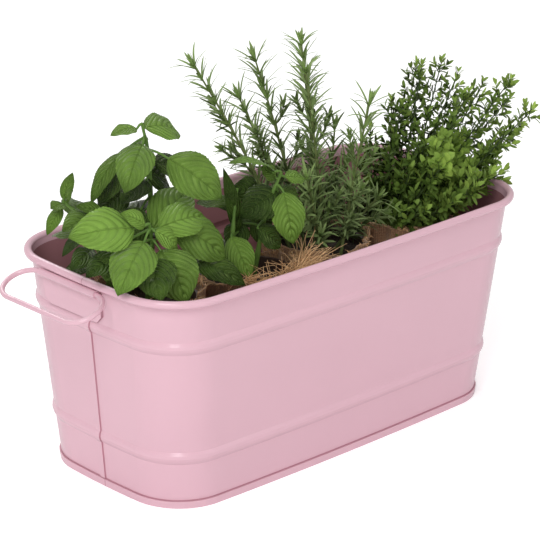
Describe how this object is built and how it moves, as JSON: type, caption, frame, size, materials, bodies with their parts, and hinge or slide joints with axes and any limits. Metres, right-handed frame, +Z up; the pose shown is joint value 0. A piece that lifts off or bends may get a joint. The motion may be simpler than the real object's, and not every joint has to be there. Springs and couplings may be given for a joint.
{
  "type": "indoor herb planter",
  "caption": "Oval sheet steel tub with rolled rim, pressed beads and hinged wire handles, holding potted kitchen herbs wrapped in burlap that each lift straight out",
  "frame": {"origin": "on the standing plane, under the middle of the tub", "axes": "+Z up; X along the tub's length, the pictured handle end at -X; Y across it, the pictured long side at -Y"},
  "size_m": [0.4253, 0.1834, 0.2855],
  "materials": {
    "tub_paint": "satin",
    "handle_paint": "satin",
    "rim_wire_steel": "drawn",
    "burlap": "coarse weave",
    "twine": "twisted jute",
    "grow_pot": "matt",
    "soil": "crumbled",
    "basil_leaf": "waxy leaf",
    "rosemary_leaf": "dull leaf",
    "thyme_leaf": "dull leaf"
  },
  "bodies": {
    "tub": {"tub_wall": "tub_paint", "rim_wire": "rim_wire_steel", "base_plate": "tub_paint", "handle_bracket_left": "tub_paint", "handle_bracket_right": "tub_paint"},
    "handle_left": {"handle_left": "handle_paint"},
    "handle_right": {"handle_right": "handle_paint"},
    "big_basil": {"big_basil_wrap": "burlap", "big_basil_twine": "twine", "big_basil_pot": "grow_pot", "big_basil_soil": "soil", "big_basil_plant": "basil_leaf"},
    "small_basil": {"small_basil_wrap": "burlap", "small_basil_twine": "twine", "small_basil_pot": "grow_pot", "small_basil_soil": "soil", "small_basil_plant": "basil_leaf"},
    "rosemary": {"rosemary_wrap": "burlap", "rosemary_twine": "twine", "rosemary_pot": "grow_pot", "rosemary_soil": "soil", "rosemary_plant": "rosemary_leaf"},
    "thyme": {"thyme_wrap": "burlap", "thyme_twine": "twine", "thyme_pot": "grow_pot", "thyme_soil": "soil", "thyme_plant": "thyme_leaf"}
  },
  "joints": [
    {"name": "left_handle_hinge", "type": "hinge", "parent": "tub", "child": "handle_left", "pos_m": [-0.18284, 0.0137, 0.1514], "axis": [0, 1, 0], "range_deg": [-68, 54]},
    {"name": "right_handle_hinge", "type": "hinge", "parent": "tub", "child": "handle_right", "pos_m": [0.18193, 0.0137, 0.1514], "axis": [0, -1, 0], "range_deg": [-68, 54]},
    {"name": "big_basil_lift", "type": "slide", "parent": "tub", "child": "big_basil", "axis": [0, 0, 1], "range_m": [0, 0.165]},
    {"name": "small_basil_lift", "type": "slide", "parent": "tub", "child": "small_basil", "axis": [0, 0, 1], "range_m": [0, 0.165]},
    {"name": "rosemary_lift", "type": "slide", "parent": "tub", "child": "rosemary", "axis": [0, 0, 1], "range_m": [0, 0.165]},
    {"name": "thyme_lift", "type": "slide", "parent": "tub", "child": "thyme", "axis": [0, 0, 1], "range_m": [0, 0.165]}
  ]
}
